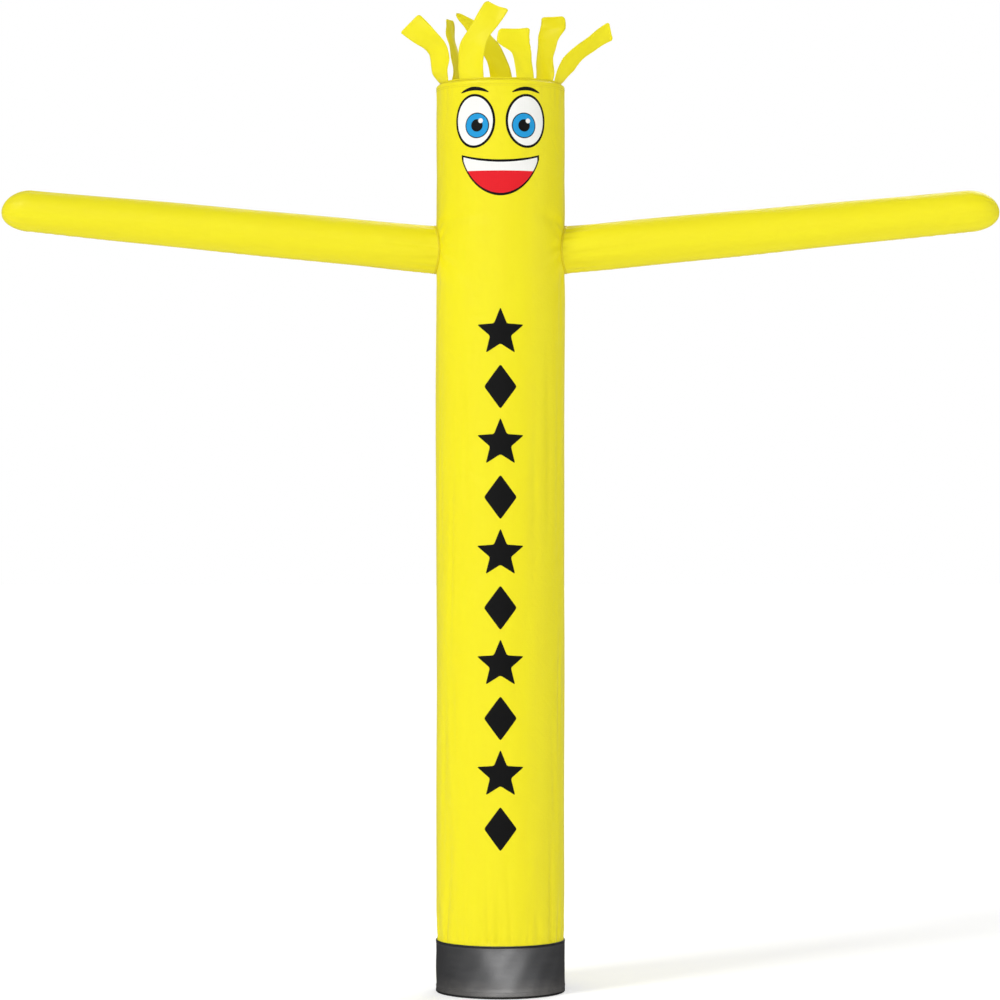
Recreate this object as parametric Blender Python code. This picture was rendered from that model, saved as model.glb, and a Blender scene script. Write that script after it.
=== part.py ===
"""An inflatable air dancer, standing blown up: a cloth tube on a heavy black cuff, with two long
arms that rise a little outwards, a vented crown and streamers for hair.

Metres, +Z up, front towards -Y. The origin is the middle of the cuff's lower edge.
"""

import math

import bmesh
import bpy
from mathutils import Vector

# The tube fits a blower with an 18 inch outlet, and every other size was read beside its width.
TUBE_RADIUS = 0.228
CLOTH = 0.002
SEAM_GAP = 0.0003
COLUMNS = 72

CUFF_RADIUS = 0.229
CUFF_WALL = 0.003
CUFF_HEIGHT = 0.184
CUFF_LAP = 0.030
LAP_RADIUS = CUFF_RADIUS - CUFF_WALL - SEAM_GAP

HEAD_TOP = 3.203
CORNER_HEIGHT = 0.012
CROWN_RADIUS = 0.218
CROWN_DOME = 0.010
VENT_RADIUS = 0.075
VENT_HEM = 0.0035

# Small puckers where the tube is gathered into the cuff and round the crown.
PUCKERS = 18
PUCKER_DEPTH = 0.0035
PUCKER_REACH = 0.19
FLARE_HEIGHT = 0.045

# An arm's middle line crosses the tube's axis at ARM_HEIGHT and rises outwards.
ARM_HEIGHT = 2.601
ARM_RISE = math.radians(5.5)
ARM_SPAN = 1.767
ARM_ROOT_RADIUS = 0.0848
ARM_END_RADIUS = 0.0737
ARM_CAP = 0.108
ARM_TIP_DROOP = 0.010
ARM_COLUMNS = 32
# Each arm is made in three lengths that meet end to end, so that no solid is long and slanting.
# The stages are where their rings stand between the root and the start of the round cap.
ARM_LENGTHS = (
    ("root", (0.0, 0.025, 0.06, 0.12, 0.22, 0.335)),
    ("middle", (0.335, 0.45, 0.56, 0.67)),
    ("end", (0.67, 0.78, 0.89, 1.0)),
)
ROOT_END = 0.335
CAP_DEGREES = (22, 42, 60, 76)

# The heights of the tube's rings above the gathers and below the crown.
LOW_STAGES = (0.10, 0.25, 0.5, 0.75, 1.0)
MIDDLE_STAGES = (0.2, 0.4, 0.6, 0.8)
HIGH_STAGES = (1.0, 0.7, 0.45, 0.22, 0.08)

HAIR_RADIUS = 0.2135
HAIR_STRIP = 0.007
HAIR_ROWS = 2
HAIR_CUP = 0.07
RING_STEP = 9.0

# Each streamer: its root's angle round the crown in degrees and the root's width, then the places
# it passes as (x, y, rise above the crown, width, facing, slope). Facing and slope turn the
# streamer's width away from +X, in plan and upwards, in degrees.
STREAMERS = (
    (200, 0.076, (
        (-0.213, -0.094, 0.043, 0.083, -48, 9),
        (-0.216, -0.108, 0.092, 0.088, -36, -9),
        (-0.232, -0.115, 0.130, 0.090, -29, 8),
        (-0.269, -0.116, 0.163, 0.091, -18, 23),
        (-0.320, -0.108, 0.210, 0.094, -5, 45),
    )),
    (241, 0.097, (
        (-0.103, -0.195, 0.072, 0.100, -28, 5),
        (-0.090, -0.200, 0.137, 0.102, -12, 8),
        (-0.050, -0.198, 0.199, 0.099, -6, 2),
        (-0.011, -0.190, 0.261, 0.088, -10, -23),
    )),
    (294.5, 0.068, (
        (0.079, -0.198, 0.067, 0.068, 26, 0),
        (0.071, -0.203, 0.102, 0.074, 20, 10),
        (0.046, -0.206, 0.135, 0.117, 10, 4),
        (0.049, -0.202, 0.179, 0.110, 6, 2),
    )),
    (342, 0.072, (
        (0.239, -0.090, 0.066, 0.072, 48, -30),
        (0.277, -0.104, 0.105, 0.064, 52, -33),
        (0.327, -0.116, 0.142, 0.062, 55, -39),
        (0.388, -0.124, 0.179, 0.070, 62, -63),
    )),
    (43, 0.092, (
        (0.159, 0.150, 0.049, 0.095, -47, 4),
        (0.160, 0.160, 0.118, 0.093, -51, 0),
        (0.171, 0.166, 0.179, 0.095, -44, -5),
        (0.189, 0.168, 0.229, 0.094, -16, -5),
        (0.188, 0.164, 0.268, 0.088, -20, 0),
    )),
    (89, 0.079, (
        (0.004, 0.211, 0.048, 0.079, 0, 0),
        (-0.012, 0.206, 0.113, 0.079, 18, 0),
        (-0.046, 0.194, 0.173, 0.081, 22, 8),
        (-0.095, 0.184, 0.232, 0.069, 26, 16),
        (-0.159, 0.178, 0.282, 0.011, 30, 34),
    )),
    (137, 0.062, (
        (-0.157, 0.149, 0.050, 0.074, 66, -2),
        (-0.160, 0.152, 0.104, 0.080, 69, -4),
        (-0.170, 0.155, 0.160, 0.080, 69, -5),
        (-0.179, 0.154, 0.208, 0.080, 67, -3),
        (-0.184, 0.150, 0.255, 0.076, 69, 2),
    )),
)

YELLOW = (0.922, 0.855, 0.015, 1.0)
BLACK = (0.018, 0.018, 0.019, 1.0)


def smooth(t):
    """0 below 0, 1 above 1, and a soft S between."""
    t = min(max(t, 0.0), 1.0)
    return t * t * (3.0 - 2.0 * t)


def mix(a, b, t):
    return a * (1.0 - t) + b * t


def paint(name, colour, roughness):
    material = bpy.data.materials.new(name)
    material.use_nodes = True
    shader = material.node_tree.nodes["Principled BSDF"]
    shader.inputs["Base Color"].default_value = colour
    shader.inputs["Roughness"].default_value = roughness
    shader.inputs["Metallic"].default_value = 0.0
    return material


def add_object(name, bm, material, parent):
    """Makes the mesh an object, with its faces pointing out and shaded smooth."""
    bmesh.ops.recalc_face_normals(bm, faces=bm.faces)
    mesh = bpy.data.meshes.new(name)
    bm.to_mesh(mesh)
    bm.free()
    mesh.shade_smooth()
    mesh.set_sharp_from_angle(angle=math.radians(40))
    mesh.materials.append(material)
    item = bpy.data.objects.new(name, mesh)
    bpy.context.scene.collection.objects.link(item)
    item.parent = parent
    return item


def join_rings(bm, first, second):
    """A band of faces between two rings, or a fan where the second is one point."""
    count = len(first)
    for i in range(count):
        j = (i + 1) % count
        if len(second) == 1:
            bm.faces.new((first[i], first[j], second[0]))
        else:
            bm.faces.new((first[i], first[j], second[j], second[i]))


def shell(rings, lining):
    """A closed wall between an outer surface and its lining, each a list of rings of points from the
    open end on. A last ring of one point closes that end."""
    bm = bmesh.new()
    outer = [[bm.verts.new(point) for point in ring] for ring in rings]
    inner = [[bm.verts.new(point) for point in ring] for ring in lining]
    for surface in (outer, inner):
        for first, second in zip(surface, surface[1:]):
            join_rings(bm, first, second)
    join_rings(bm, outer[0], inner[0])
    if len(outer[-1]) > 1:
        join_rings(bm, outer[-1], inner[-1])
    return bm


def turned(profile):
    """A solid turned round Z from a closed outline of (radius, height)."""
    bm = bmesh.new()
    rings = []
    for radius, height in profile:
        turns = (2 * math.pi * i / COLUMNS for i in range(COLUMNS))
        ring = [bm.verts.new((radius * math.cos(a), radius * math.sin(a), height)) for a in turns]
        rings.append(ring)
    for first, second in zip(rings, rings[1:] + rings[:1]):
        join_rings(bm, first, second)
    return bm


def pucker(angle, height):
    """How far the gathered cloth is drawn in, at its deepest between the pleats."""
    above_cuff = (height - CUFF_HEIGHT) / PUCKER_REACH
    below_crown = (HEAD_TOP - CORNER_HEIGHT - height) / PUCKER_REACH
    near = min(above_cuff, below_crown)
    if not 0.0 < near < 1.0:
        return 0.0
    drawn_in = (1.0 - near) ** 2 * min(near / 0.1, 1.0)
    shift = 0.0 if above_cuff < below_crown else 2.1
    wave = 0.5 + 0.5 * math.cos(PUCKERS * angle + 0.9 * math.sin(2 * angle + shift))
    uneven = 0.75 + 0.25 * math.sin(3 * angle + shift)
    return PUCKER_DEPTH * drawn_in * wave * uneven


def tube_rings(inset):
    """The tube's rings from inside the cuff to the edge of the crown."""
    low = CUFF_HEIGHT + PUCKER_REACH
    high = HEAD_TOP - CORNER_HEIGHT - PUCKER_REACH
    heights = [CUFF_HEIGHT - CUFF_LAP, CUFF_HEIGHT]
    heights += [CUFF_HEIGHT + PUCKER_REACH * t for t in LOW_STAGES]
    heights += [mix(low, high, t) for t in MIDDLE_STAGES]
    heights += [HEAD_TOP - CORNER_HEIGHT - PUCKER_REACH * t for t in HIGH_STAGES]
    heights += [HEAD_TOP - CORNER_HEIGHT]
    rings = []
    for height in heights:
        flare = smooth((height - CUFF_HEIGHT) / FLARE_HEIGHT)
        radius = mix(LAP_RADIUS, TUBE_RADIUS, flare) - inset
        ring = []
        for i in range(COLUMNS):
            angle = 2 * math.pi * i / COLUMNS
            drawn = radius - pucker(angle, height)
            ring.append((drawn * math.cos(angle), drawn * math.sin(angle), height))
        rings.append(ring)
    turn_in = TUBE_RADIUS - CROWN_RADIUS
    corner = ((TUBE_RADIUS - 0.35 * turn_in - 0.7 * inset, HEAD_TOP - 0.3 * CORNER_HEIGHT - 0.6 * inset),
              (CROWN_RADIUS, HEAD_TOP - inset))
    for radius, height in corner:
        turns = (2 * math.pi * i / COLUMNS for i in range(COLUMNS))
        rings.append([(radius * math.cos(a), radius * math.sin(a), height) for a in turns])
    return rings


def arm_point(side, along, radius, angle, droop):
    """A point round an arm's middle line, at a distance along it from the tube's axis."""
    out = along * math.cos(ARM_RISE) - radius * math.sin(angle) * math.sin(ARM_RISE)
    up = along * math.sin(ARM_RISE) + radius * math.sin(angle) * math.cos(ARM_RISE)
    return Vector((side * out, radius * math.cos(angle), ARM_HEIGHT + up - droop))


def arm_radius(along):
    cap_start = ARM_SPAN / math.cos(ARM_RISE) - ARM_CAP
    t = (along - TUBE_RADIUS) / (cap_start - TUBE_RADIUS)
    return mix(ARM_ROOT_RADIUS, ARM_END_RADIUS, t)


def root_distance(angle, inset):
    """How far along its middle line an arm's edge meets the tube, at this angle round the arm."""
    seat = TUBE_RADIUS + SEAM_GAP
    radius = ARM_ROOT_RADIUS - inset
    out = math.sqrt(seat ** 2 - (radius * math.cos(angle)) ** 2)
    return (out + radius * math.sin(angle) * math.sin(ARM_RISE)) / math.cos(ARM_RISE)


def arm_rings(side, inset, stages):
    """The rings of one length of an arm. The last length goes on round the cap to its point."""
    cap_start = ARM_SPAN / math.cos(ARM_RISE) - ARM_CAP
    turns = [2 * math.pi * i / ARM_COLUMNS for i in range(ARM_COLUMNS)]
    rings = []
    for stage in stages:
        saddle = max(0.0, 1.0 - stage / ROOT_END)
        gap = SEAM_GAP if stage == stages[0] and stage > 0.0 else 0.0
        ring = []
        for angle in turns:
            along = mix(TUBE_RADIUS, cap_start, stage) + gap
            along += (root_distance(angle, inset) - TUBE_RADIUS) * saddle
            radius = (ARM_ROOT_RADIUS if stage == 0.0 else arm_radius(along)) - inset
            ring.append(arm_point(side, along, radius, angle, 0.0))
        rings.append(ring)
    if stages[-1] < 1.0:
        return rings
    for degrees in CAP_DEGREES:
        turn = math.radians(degrees)
        along = cap_start + (ARM_CAP - inset) * math.sin(turn)
        radius = (ARM_END_RADIUS - inset) * math.cos(turn)
        droop = ARM_TIP_DROOP * math.sin(turn) ** 2
        rings.append([arm_point(side, along, radius, angle, droop) for angle in turns])
    rings.append([arm_point(side, cap_start + ARM_CAP - inset, 0.0, 0.0, ARM_TIP_DROOP)])
    return rings


def arm_hole_cutter(side):
    """A round bar on the arm's middle line, which opens the tube into the arm."""
    radius = ARM_ROOT_RADIUS - CLOTH
    bm = bmesh.new()
    turns = [2 * math.pi * i / ARM_COLUMNS for i in range(ARM_COLUMNS)]
    ends = []
    for along in (0.5 * TUBE_RADIUS, 1.3 * TUBE_RADIUS):
        ends.append([bm.verts.new(arm_point(side, along, radius, a, 0.0)) for a in turns])
    join_rings(bm, ends[0], ends[1])
    for ring in ends:
        bm.faces.new(ring)
    return bm


def crown_height(radius):
    """The height of the crown's upper face: it swells a little towards the vent."""
    return HEAD_TOP + CROWN_DOME * (1.0 - (radius / CROWN_RADIUS) ** 2)


def crown_profile():
    """The crown's outline from its seam to the vent and back, with a thicker hem round the vent."""
    edge = CROWN_RADIUS - SEAM_GAP
    hem = VENT_RADIUS + 0.012
    upper = [(r, crown_height(r)) for r in (edge, mix(edge, hem, 0.35), mix(edge, hem, 0.7), hem)]
    rim = [(VENT_RADIUS, crown_height(VENT_RADIUS)), (VENT_RADIUS, crown_height(VENT_RADIUS) - VENT_HEM)]
    hem_end = (hem, crown_height(hem) - VENT_HEM)
    lower = [hem_end] + [(r, z - CLOTH) for r, z in reversed(upper)]
    return upper + rim + lower


def streamer_rows(root_angle, root_width, root_rise, places):
    """The streamer's cross lines from its root, each (middle, half of its width as a vector)."""
    turn = math.radians(root_angle)
    middle = Vector((HAIR_RADIUS * math.cos(turn), HAIR_RADIUS * math.sin(turn), root_rise))
    facing = root_angle - (270 if root_angle > 180 else 90)
    stops = [(middle, root_width, facing, 0.0)]
    stops += [(Vector(place[:3]), place[3], place[4], place[5]) for place in places]
    rows = []
    for i in range(len(stops) - 1):
        before, start, end, after = (stops[min(max(i + k, 0), len(stops) - 1)] for k in (-1, 0, 1, 2))
        for step in range(1, HAIR_ROWS + 1):
            t = step / HAIR_ROWS
            bend = (end[0] - before[0]) * 0.5, (after[0] - start[0]) * 0.5
            where = (
                start[0] * (2 * t ** 3 - 3 * t ** 2 + 1)
                + bend[0] * (t ** 3 - 2 * t ** 2 + t)
                + end[0] * (3 * t ** 2 - 2 * t ** 3)
                + bend[1] * (t ** 3 - t ** 2)
            )
            width = mix(start[1], end[1], t)
            plan = math.radians(mix(start[2], end[2], t))
            slope = math.radians(mix(start[3], end[3], t))
            level = Vector((math.cos(plan), math.sin(plan), 0.0))
            across = level * math.cos(slope) + Vector((0.0, 0.0, math.sin(slope)))
            rows.append((where, across * (0.5 * width)))
    return rows


def hair_sheet():
    """The strip round the crown and the streamers that rise from it, as one sheet."""
    stand = crown_height(HAIR_RADIUS - CLOTH) + SEAM_GAP
    root_rise = stand + HAIR_STRIP - HEAD_TOP
    lift = Vector((0.0, 0.0, HEAD_TOP))
    order = sorted(range(len(STREAMERS)), key=lambda i: STREAMERS[i][0])
    angles, roots = [], {}
    for position, index in enumerate(order):
        root_angle, width, _ = STREAMERS[index]
        spread = math.degrees(0.5 * width / HAIR_RADIUS)
        roots[index] = len(angles)
        angles += [root_angle - spread, root_angle, root_angle + spread]
        following = STREAMERS[order[(position + 1) % len(order)]]
        start = following[0] - math.degrees(0.5 * following[1] / HAIR_RADIUS)
        if start < angles[-1]:
            start += 360.0
        steps = max(1, round((start - angles[-1]) / RING_STEP))
        last = angles[-1]
        angles += [mix(last, start, k / steps) for k in range(1, steps)]
    bm = bmesh.new()
    low, high = [], []
    for angle in angles:
        turn = math.radians(angle)
        x, y = HAIR_RADIUS * math.cos(turn), HAIR_RADIUS * math.sin(turn)
        low.append(bm.verts.new((x, y, stand)))
        high.append(bm.verts.new((x, y, stand + HAIR_STRIP)))
    join_rings(bm, low, high)
    for index, (root_angle, width, places) in enumerate(STREAMERS):
        first = roots[index]
        row = [high[(first + k) % len(high)] for k in range(3)]
        for middle, half in streamer_rows(root_angle, width, root_rise, places):
            out = Vector((middle.x, middle.y, 0.0)).normalized()
            cup = out * (-HAIR_CUP * half.length)
            forward = half if root_angle > 180 else -half
            points = (middle - forward, middle + cup, middle + forward)
            new_row = [bm.verts.new(point + lift) for point in points]
            for k in range(2):
                bm.faces.new((row[k], row[k + 1], new_row[k + 1], new_row[k]))
            row = new_row
    return bm


def build():
    for item in list(bpy.data.objects):
        bpy.data.objects.remove(item, do_unlink=True)
    figure = bpy.data.objects.new("air_dancer", None)
    bpy.context.scene.collection.objects.link(figure)
    yellow = paint("yellow_cloth", YELLOW, 0.55)
    black = paint("black_coated_cloth", BLACK, 0.4)

    inside = CUFF_RADIUS - CUFF_WALL
    cuff = [(CUFF_RADIUS, CUFF_HEIGHT), (CUFF_RADIUS, 0.0), (inside, 0.0), (inside, CUFF_HEIGHT)]
    add_object("cuff", turned(cuff), black, figure)

    tube = add_object("body_tube", shell(tube_rings(0.0), tube_rings(CLOTH)), yellow, figure)
    for side, name in ((-1, "arm_left"), (1, "arm_right")):
        for length, stages in ARM_LENGTHS:
            wall = shell(arm_rings(side, 0.0, stages), arm_rings(side, CLOTH, stages))
            add_object(f"{name}_{length}", wall, yellow, figure)
        cutter = add_object(name + "_hole", arm_hole_cutter(side), yellow, figure)
        cutter.hide_render = True
        cutter.display_type = "WIRE"
        hole = tube.modifiers.new(name + "_hole", "BOOLEAN")
        hole.operation = "DIFFERENCE"
        hole.object = cutter

    add_object("crown", turned(crown_profile()), yellow, figure)

    hair = add_object("hair", hair_sheet(), yellow, figure)
    thicken = hair.modifiers.new("thickness", "SOLIDIFY")
    thicken.thickness = CLOTH
    thicken.offset = 0.0
    thicken.use_even_offset = True


build()
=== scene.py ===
"""The looks of the inflatable air dancer: ripstop cloth blown up tight, with pleats at its seams,
a printed face and a printed column of stars and diamonds, stitching, and a coated black cuff."""

import math

import bpy
import numpy as np
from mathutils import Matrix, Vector
from mathutils.geometry import delaunay_2d_cdt


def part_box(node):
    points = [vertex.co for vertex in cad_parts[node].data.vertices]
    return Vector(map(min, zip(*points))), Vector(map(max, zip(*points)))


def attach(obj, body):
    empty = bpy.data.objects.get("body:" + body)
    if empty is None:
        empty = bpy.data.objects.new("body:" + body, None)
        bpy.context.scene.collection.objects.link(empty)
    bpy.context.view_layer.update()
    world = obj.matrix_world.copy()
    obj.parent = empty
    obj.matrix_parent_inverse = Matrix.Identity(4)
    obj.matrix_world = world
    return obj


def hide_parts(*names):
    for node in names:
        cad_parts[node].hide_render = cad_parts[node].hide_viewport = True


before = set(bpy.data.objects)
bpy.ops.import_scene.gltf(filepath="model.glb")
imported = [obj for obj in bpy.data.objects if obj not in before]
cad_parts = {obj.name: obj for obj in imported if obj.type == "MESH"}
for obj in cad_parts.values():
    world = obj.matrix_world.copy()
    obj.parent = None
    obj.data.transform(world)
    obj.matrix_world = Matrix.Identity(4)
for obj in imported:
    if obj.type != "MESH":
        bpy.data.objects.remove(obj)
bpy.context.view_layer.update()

# Sizes that the frame gives.
cuff_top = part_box("cuff")[1]
tube_low, tube_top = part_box("body_tube")
crown_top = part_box("crown")[1]
CUFF_RADIUS, CUFF_HEIGHT = cuff_top.x, cuff_top.z
TUBE_RADIUS, HEAD_TOP = tube_top.x, tube_top.z
CROWN_RADIUS = crown_top.x
ARM_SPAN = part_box("arm_right_end")[1].x
LAP_FOOT = tube_low.z

# Sizes of the sewn pieces, in metres.
SHEET = 0.0012
BAND = 0.0009
TUBE_INSET = 0.0006
CLOTH_INSET = 0.0004
LAP_RADIUS = 0.2243
FLARE_HEIGHT = 0.045
CORNER_HEIGHT = 0.012
CORNER_FOOT = HEAD_TOP - CORNER_HEIGHT
CROWN_DOME = 0.010
VENT_RADIUS = 0.075
ARM_HEIGHT = 2.601
ARM_RISE = math.radians(5.5)
ARM_ROOT_RADIUS = 0.0848
ARM_END_RADIUS = 0.0737
ARM_CAP = 0.108
ARM_TIP_DROOP = 0.010
CAP_START = ARM_SPAN / math.cos(ARM_RISE) - ARM_CAP
ARM_REACH = CAP_START - TUBE_RADIUS
HOLE_LEVEL = ARM_HEIGHT + TUBE_RADIUS * math.tan(ARM_RISE)
HOLE_RADIUS = ARM_ROOT_RADIUS - 0.004
HAIR_RADIUS = 0.2135
HAIR_STRIP = 0.007
TIP_CORNER = 0.011
GIRTH = 2 * math.pi * TUBE_RADIUS
ARM_GIRTH = 2 * math.pi * ARM_ROOT_RADIUS
CROWN_GIRTH = 2 * math.pi * CROWN_RADIUS
VENT_GIRTH = 2 * math.pi * VENT_RADIUS

# Each streamer: its root's angle round the crown in degrees and the root's width, then the places
# it passes as (x, y, rise above the crown, width, facing, slope), as its solid does.
STREAMERS = (
    (200, 0.076, (
        (-0.213, -0.094, 0.043, 0.083, -48, 9),
        (-0.216, -0.108, 0.092, 0.088, -36, -9),
        (-0.232, -0.115, 0.130, 0.090, -29, 8),
        (-0.269, -0.116, 0.163, 0.091, -18, 23),
        (-0.320, -0.108, 0.210, 0.094, -5, 45),
    )),
    (241, 0.097, (
        (-0.103, -0.195, 0.072, 0.100, -28, 5),
        (-0.090, -0.200, 0.137, 0.102, -12, 8),
        (-0.050, -0.198, 0.199, 0.099, -6, 2),
        (-0.011, -0.190, 0.261, 0.088, -10, -23),
    )),
    (294.5, 0.068, (
        (0.079, -0.198, 0.067, 0.068, 26, 0),
        (0.071, -0.203, 0.102, 0.074, 20, 10),
        (0.046, -0.206, 0.135, 0.117, 10, 4),
        (0.049, -0.202, 0.179, 0.110, 6, 2),
    )),
    (342, 0.072, (
        (0.239, -0.090, 0.066, 0.072, 48, -30),
        (0.277, -0.104, 0.105, 0.064, 52, -33),
        (0.327, -0.116, 0.142, 0.062, 55, -39),
        (0.388, -0.124, 0.179, 0.070, 62, -63),
    )),
    (43, 0.092, (
        (0.159, 0.150, 0.049, 0.095, -47, 4),
        (0.160, 0.160, 0.118, 0.093, -51, 0),
        (0.171, 0.166, 0.179, 0.095, -44, -5),
        (0.189, 0.168, 0.229, 0.094, -16, -5),
        (0.188, 0.164, 0.268, 0.088, -20, 0),
    )),
    (89, 0.079, (
        (0.004, 0.211, 0.048, 0.079, 0, 0),
        (-0.012, 0.206, 0.113, 0.079, 18, 0),
        (-0.046, 0.194, 0.173, 0.081, 22, 8),
        (-0.095, 0.184, 0.232, 0.069, 26, 16),
        (-0.159, 0.178, 0.282, 0.011, 30, 34),
    )),
    (137, 0.062, (
        (-0.157, 0.149, 0.050, 0.074, 66, -2),
        (-0.160, 0.152, 0.104, 0.080, 69, -4),
        (-0.170, 0.155, 0.160, 0.080, 69, -5),
        (-0.179, 0.154, 0.208, 0.080, 67, -3),
        (-0.184, 0.150, 0.255, 0.076, 69, 2),
    )),
)

# Colours as sRGB parts of 255, which the materials turn into light.
YELLOW = (243, 235, 10)
THREAD_YELLOW = (222, 206, 30)
CUFF_GREY = (20, 20, 21)
BINDING_BLACK = (9, 9, 10)
THREAD_GREY = (92, 92, 96)
INK_BLACK = (5, 5, 6)
INK_WHITE = (246, 246, 243)
INK_BLUE = (35, 158, 220)
INK_RED = (232, 30, 40)

rng = np.random.default_rng(11)


# Small helpers

LEVEL = np.array([1.0, 1.0, 0.0])
FOLD_START = 0.014


def smooth(t):
    t = np.clip(t, 0.0, 1.0)
    return t * t * (3.0 - 2.0 * t)


def mix(a, b, t):
    return a * (1.0 - t) + b * t


def unit(vectors):
    return vectors / np.maximum(np.linalg.norm(vectors, axis=-1, keepdims=True), 1e-12)


def circle(count, start=0.0):
    """Angles evenly round a circle, without the last, which is the first again."""
    return np.linspace(start, start + 2 * math.pi, count + 1)[:-1]


def steps(*stretches):
    """Values that run on through stretches of (start, end, spacing)."""
    values = []
    for start, end, spacing in stretches:
        count = max(1, round((end - start) / spacing))
        values += list(np.linspace(start, end, count + 1)[:-1])
    return np.array(values + [stretches[-1][1]])


def run_along(path):
    """The distance from a path's start to each of its points."""
    return np.concatenate([[0.0], np.cumsum(np.linalg.norm(np.diff(path, axis=0), axis=1))])


def wrapped(around, girth):
    """A distance round a girth, brought to within half of it either way."""
    return (around + 0.5 * girth) % girth - 0.5 * girth


def folds(count, girth, depth, length, width, lean=0.12, stiff=0.0):
    """Uneven folds side by side round a seam: (place, depth, length, width, lean) for each. Those
    within the stiff reach of place 0 are half as long and deep, as ink stiffens the cloth."""
    places = (np.arange(count) + rng.uniform(-0.32, 0.32, count)) * girth / count
    share = np.where(np.minimum(places % girth, -places % girth) < stiff, 0.5, 1.0)
    return list(zip(
        places,
        rng.uniform(*depth, count) * share,
        rng.uniform(*length, count) * share,
        rng.uniform(*width, count),
        rng.uniform(-lean, lean, count),
    ))


def gathered(around, away, girth, seam_folds):
    """The relief of folds that run away from a seam, widen and die out. around and away are the
    distances round the cloth and from the seam."""
    relief = np.zeros(np.broadcast(around, away).shape)
    for place, depth, length, width, lean in seam_folds:
        side = wrapped(around - place - lean * away, girth)
        share = np.clip(away / length, 0.0, 1.0)
        fade = smooth(away / FOLD_START) * (1.0 - smooth(share))
        relief -= depth * fade * np.exp(-((side / (width * (0.65 + 0.7 * share))) ** 2))
    return relief


class Cloth:
    """A cloth's grid of points. Columns run round it by `across`, rows along it by `along`."""

    def __init__(self, points, across, along):
        self.points, self.across, self.along = points, across, along
        sideways = np.roll(points, -1, axis=1) - np.roll(points, 1, axis=1)
        onwards = np.gradient(points, axis=0)
        self.normals = unit(np.cross(sideways, onwards))

    def place(self, across, along, lift=0.0):
        """Points on the cloth's own faces, lifted off them, for arrays of across and along."""
        across, along = np.broadcast_arrays(np.asarray(across, float), np.asarray(along, float))
        columns = len(self.across)
        spacing = self.across[1] - self.across[0]
        column = ((across - self.across[0]) / spacing) % columns
        left = np.floor(column).astype(int) % columns
        right = (left + 1) % columns
        part = (column - np.floor(column))[..., None]
        row = np.clip(np.searchsorted(self.along, along, side="right") - 1, 0, len(self.along) - 2)
        rise = (along - self.along[row]) / (self.along[row + 1] - self.along[row])
        rise = np.clip(rise, 0.0, 1.0)[..., None]

        def blended(grid):
            low = mix(grid[row, left], grid[row, right], part)
            high = mix(grid[row + 1, left], grid[row + 1, right], part)
            return mix(low, high, rise)

        return blended(self.points) + unit(blended(self.normals)) * np.asarray(lift)[..., None]


def add_piece(name, points, faces, uvs, material, thickness=0.0):
    """Makes a mesh piece that rides on the body, with its cloth's own flat coordinates in metres."""
    mesh = bpy.data.meshes.new(name)
    mesh.from_pydata(np.asarray(points).reshape(-1, 3).tolist(), [], faces)
    layer = mesh.uv_layers.new(name="flat")
    layer.data.foreach_set("uv", np.asarray(uvs, np.float32).ravel())
    mesh.shade_smooth()
    mesh.materials.append(material)
    piece = bpy.data.objects.new(name, mesh)
    bpy.context.scene.collection.objects.link(piece)
    if thickness:
        wall = piece.modifiers.new("wall", "SOLIDIFY")
        wall.thickness = thickness
        wall.offset = -1.0
    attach(piece, "root")
    return piece


def grid_faces(rows, columns, closed, keep=None, start=0):
    """Quads of a grid, as rows of corner numbers, with each corner's (column, row) place."""
    last = columns if closed else columns - 1
    row, column = np.meshgrid(np.arange(rows - 1), np.arange(last), indexing="ij")
    row, column = row.ravel(), column.ravel()
    if keep is not None:
        kept = keep[row, column]
        row, column = row[kept], column[kept]
    corners, places = [], []
    for aside, up in ((0, 0), (1, 0), (1, 1), (0, 1)):
        corners.append((row + up) * columns + (column + aside) % columns)
        places.append(np.stack([column + aside, row + up], axis=1))
    return np.stack(corners, axis=1) + start, np.stack(places, axis=1)


def flat_places(places, flat_across, flat_along):
    """The flat coordinates of the corners of a grid's faces."""
    return np.stack([flat_across[places[..., 0]], flat_along[places[..., 1]]], axis=-1)


def grid_piece(name, points, flat_across, flat_along, material, thickness, closed=True, keep=None):
    """A grid of points as a piece. flat_across has one value more than columns where it closes."""
    faces, places = grid_faces(*points.shape[:2], closed, keep)
    uvs = flat_places(places, flat_across, flat_along)
    return add_piece(name, points, faces.tolist(), uvs, material, thickness)


def looped_piece(name, points, flat_across, flat_along, material):
    """A grid that closes both ways as a piece, with one flat value more than points each way."""
    rows, columns = points.shape[:2]
    faces, places = grid_faces(rows + 1, columns, True)
    uvs = flat_places(places, flat_across, flat_along)
    return add_piece(name, points, (faces % (rows * columns)).tolist(), uvs, material)


def band(name, cloth, across, along, lifts, material, thickness):
    """A sewn band on a cloth: across and along are grids of places, and lifts its section."""
    points = cloth.place(across, along, np.broadcast_to(lifts, across.shape))
    width = run_along(points[len(points) // 2])
    return grid_piece(name, points, width, run_along(points[:, 0]), material, thickness, closed=False)


def strip(name, cloth, middle, run, section, scale, material, thickness=BAND):
    """A band along a cloth's rows. Its section is (offset, lift) pairs, and scale turns an offset
    into the cloth's own measure round it."""
    offsets, lifts = np.transpose(section)
    across = middle + np.broadcast_to(offsets / scale, (len(run), len(offsets)))
    return band(name, cloth, across, np.broadcast_to(run[:, None], across.shape), lifts, material, thickness)


def hoop(name, cloth, around, section, material, scale=1.0):
    """A band round a cloth. Its section is (distance, lift) pairs, and scale turns a distance into
    the cloth's own measure along it."""
    distances, lifts = np.transpose(section)
    across, along = np.meshgrid(around, distances / scale, indexing="ij")
    return band(name, cloth, across[::-1], along[::-1], lifts, material, BAND)


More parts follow.
